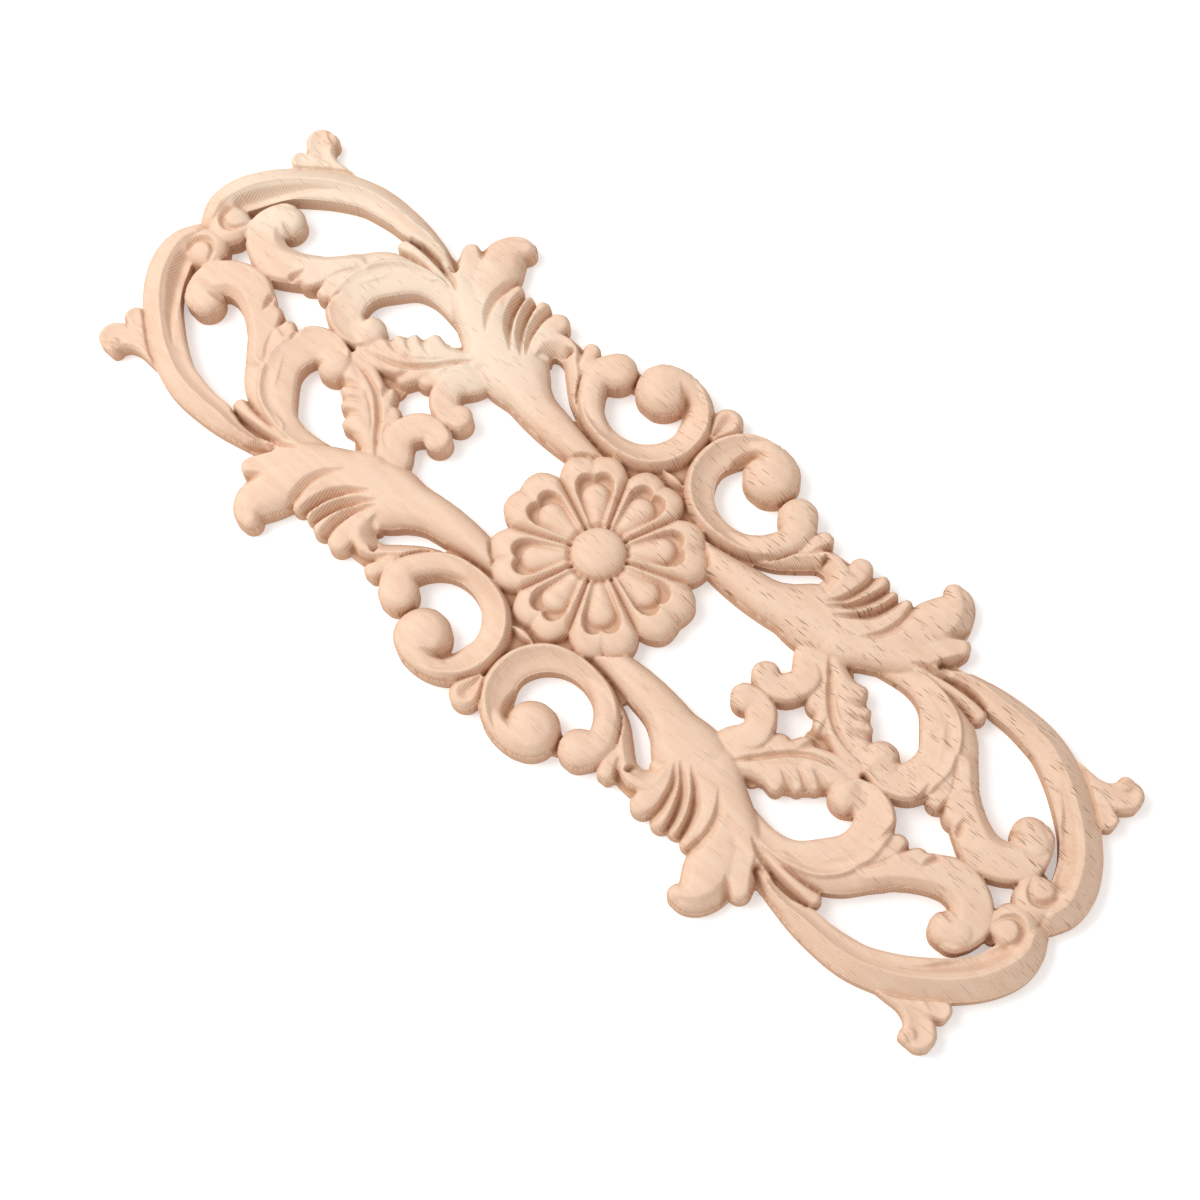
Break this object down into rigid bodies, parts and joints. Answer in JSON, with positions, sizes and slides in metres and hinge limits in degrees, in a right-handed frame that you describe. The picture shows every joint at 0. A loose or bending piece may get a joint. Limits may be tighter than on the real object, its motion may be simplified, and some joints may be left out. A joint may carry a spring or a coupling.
{
  "type": "carved wooden applique",
  "caption": "Long pierced wooden onlay carved with scrolls and acanthus leaves round a central flower, flat at the back for gluing.",
  "frame": {"origin": "centre of the flat back, under the middle of the flower", "axes": "+X along the length, +Y across the width, +Z out of the carved front"},
  "size_m": [0.2988, 0.1094, 0.0094],
  "materials": {
    "pale_wood": "bare, matte, unvarnished"
  },
  "bodies": {
    "root": {"carved_applique": "pale_wood"}
  },
  "joints": []
}
